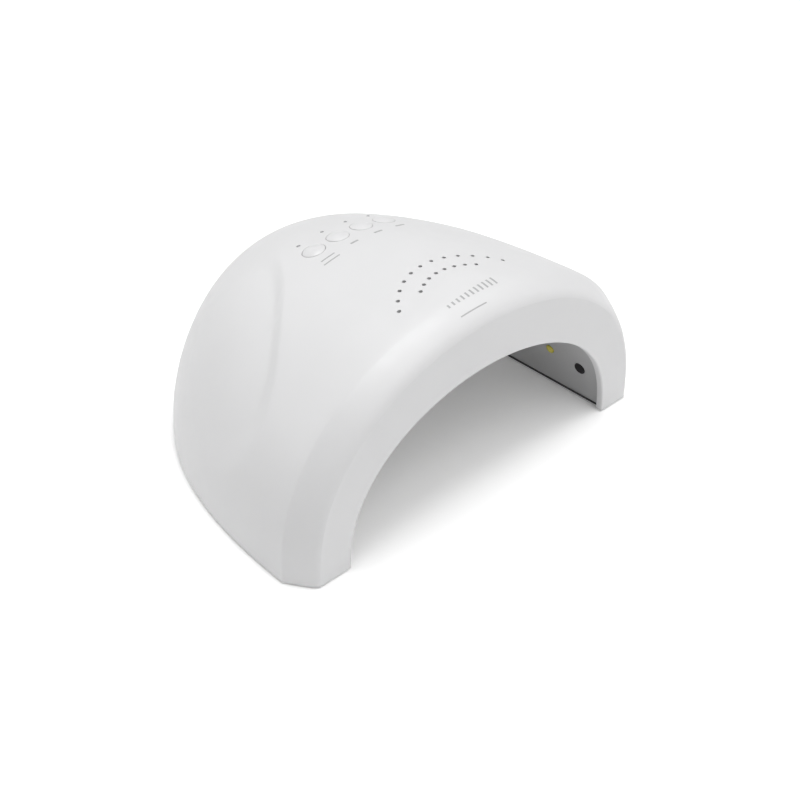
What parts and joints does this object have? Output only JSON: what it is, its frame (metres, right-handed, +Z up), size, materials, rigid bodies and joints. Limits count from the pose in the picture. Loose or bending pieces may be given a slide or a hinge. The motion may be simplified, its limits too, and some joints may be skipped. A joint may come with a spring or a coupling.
{
  "type": "uv curing lamp",
  "caption": "Domed white benchtop UV curing lamp with an arched hand opening, rows of diodes inside, press buttons and vent holes on top.",
  "frame": {"origin": "middle of the footprint, on the surface that the rubber feet stand on", "axes": "+X across the lamp to the right seen from the front, -Y towards the hand opening, +Z up"},
  "size_m": [0.2231, 0.172, 0.1008],
  "materials": {
    "base_plastic": "satin",
    "button_plastic": "satin",
    "capacitor_can": "satin",
    "chip_resin": "matte",
    "contact_metal": "polished",
    "control_laminate": "satin",
    "feet_rubber": "matte",
    "indicator_diode": "gloss",
    "inlet_plastic": "satin",
    "lamp_board": "satin",
    "lamp_phosphor": "gloss",
    "light_pipe": "satin",
    "plunger_plastic": "matte",
    "reflector_plastic": "satin",
    "screw_steel": "satin",
    "shell_plastic": "satin",
    "socket_plastic": "satin",
    "switch_plastic": "matte",
    "window_filter": "gloss",
    "wire_insulation": "satin"
  },
  "bodies": {
    "housing": {"base_frame": "base_plastic", "base_screws": "screw_steel", "capacitors": "capacitor_can", "control_board": "control_laminate", "control_board_screws": "screw_steel", "indicator_leds": "indicator_diode", "indicator_light_pipes": "light_pipe", "led_drivers": "chip_resin", "left_row_wires": "wire_insulation", "left_sensor_board": "control_laminate", "left_sensor_diode": "window_filter", "left_sensor_window": "window_filter", "left_shoulder_led_board": "lamp_board", "left_shoulder_leds": "lamp_phosphor", "left_side_led_board": "lamp_board", "left_side_leds": "lamp_phosphor", "microcontroller": "chip_resin", "outer_shell": "shell_plastic", "power_inlet_board": "control_laminate", "power_inlet_body": "inlet_plastic", "power_inlet_pin": "contact_metal", "power_inlet_screws": "screw_steel", "power_wires": "wire_insulation", "rear_led_board": "lamp_board", "rear_led_wires": "wire_insulation", "rear_leds": "lamp_phosphor", "reflector": "reflector_plastic", "reflector_screws": "screw_steel", "right_row_wires": "wire_insulation", "right_sensor_board": "control_laminate", "right_sensor_diode": "window_filter", "right_sensor_window": "window_filter", "right_shoulder_led_board": "lamp_board", "right_shoulder_leds": "lamp_phosphor", "right_side_led_board": "lamp_board", "right_side_leds": "lamp_phosphor", "roof_led_board": "lamp_board", "roof_leds": "lamp_phosphor", "rubber_feet": "feet_rubber", "sensor_wires": "wire_insulation", "switch_body_1": "switch_plastic", "switch_body_2": "switch_plastic", "switch_body_3": "switch_plastic", "switch_body_4": "switch_plastic", "wire_sockets": "socket_plastic"},
    "button_1": {"button_cap_1": "button_plastic", "switch_plunger_1": "plunger_plastic"},
    "button_2": {"button_cap_2": "button_plastic", "switch_plunger_2": "plunger_plastic"},
    "button_3": {"button_cap_3": "button_plastic", "switch_plunger_3": "plunger_plastic"},
    "button_4": {"button_cap_4": "button_plastic", "switch_plunger_4": "plunger_plastic"}
  },
  "joints": [
    {"name": "button_1_press", "type": "slide", "parent": "housing", "child": "button_1", "axis": [0, 0, -1], "range_m": [0, 0.0004], "stiffness_N_per_m": 4000},
    {"name": "button_2_press", "type": "slide", "parent": "housing", "child": "button_2", "axis": [0, 0, -1], "range_m": [0, 0.0004], "stiffness_N_per_m": 4000},
    {"name": "button_3_press", "type": "slide", "parent": "housing", "child": "button_3", "axis": [0, 0, -1], "range_m": [0, 0.0004], "stiffness_N_per_m": 4000},
    {"name": "button_4_press", "type": "slide", "parent": "housing", "child": "button_4", "axis": [0, 0, -1], "range_m": [0, 0.0004], "stiffness_N_per_m": 4000}
  ]
}
